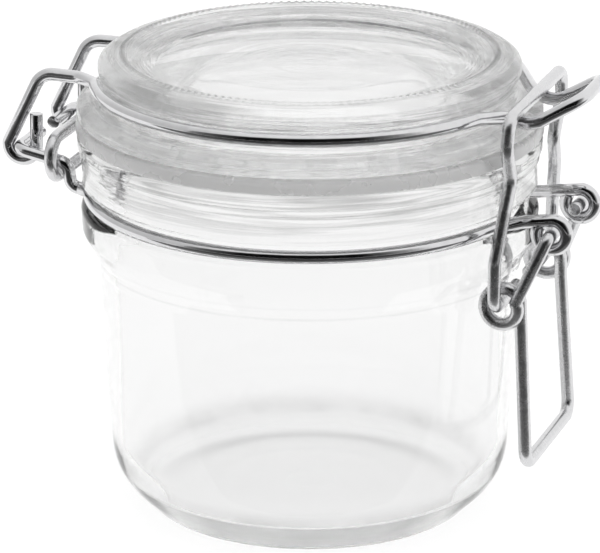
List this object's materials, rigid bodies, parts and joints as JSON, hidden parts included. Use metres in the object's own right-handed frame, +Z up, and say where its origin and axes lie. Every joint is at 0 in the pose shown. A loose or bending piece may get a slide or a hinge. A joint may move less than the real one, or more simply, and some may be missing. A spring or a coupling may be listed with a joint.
{
  "type": "glass storage jar",
  "caption": "Small clear glass storage jar with a hinged glass lid, a pale rubber seal and a sprung wire clip latch.",
  "frame": {"origin": "centre of the jar's base, on the surface it stands on", "axes": "+X from the hinge to the latch, +Y to the left as seen from the latch, +Z up along the jar's axis"},
  "size_m": [0.1242, 0.0964, 0.0972],
  "materials": {
    "clear_glass": "clear moulded glass, very faintly cool, glossy",
    "seal_rubber": "pale translucent rubber, satin",
    "steel_wire": "bright drawn steel wire with faint draw marks"
  },
  "bodies": {
    "jar": {"jar_body": "clear_glass", "seal": "seal_rubber", "neck_wire_back": "steel_wire", "neck_wire_front": "steel_wire", "hinge_link": "steel_wire"},
    "lid": {"lid_glass": "clear_glass", "lid_wire": "steel_wire"},
    "lever": {"lever": "steel_wire"},
    "bail": {"bail": "steel_wire"}
  },
  "joints": [
    {"name": "lid_hinge", "type": "hinge", "parent": "jar", "child": "lid", "pos_m": [-0.0584, 0, 0.075], "axis": [0, -1, 0], "range_deg": [0, 105]},
    {"name": "lever_pivot", "type": "hinge", "parent": "jar", "child": "lever", "pos_m": [0.0549, 0, 0.0662], "axis": [0, -1, 0], "range_deg": [0, 105]},
    {"name": "bail_pivot", "type": "hinge", "parent": "lever", "child": "bail", "pos_m": [0.0459, 0, 0.0525], "axis": [0, 1, 0], "range_deg": [0, 147], "deforming": ["bail"]}
  ],
  "couplings": [
    {"joint": "bail_pivot", "follows": "lever_pivot", "ratio": 1.4}
  ]
}
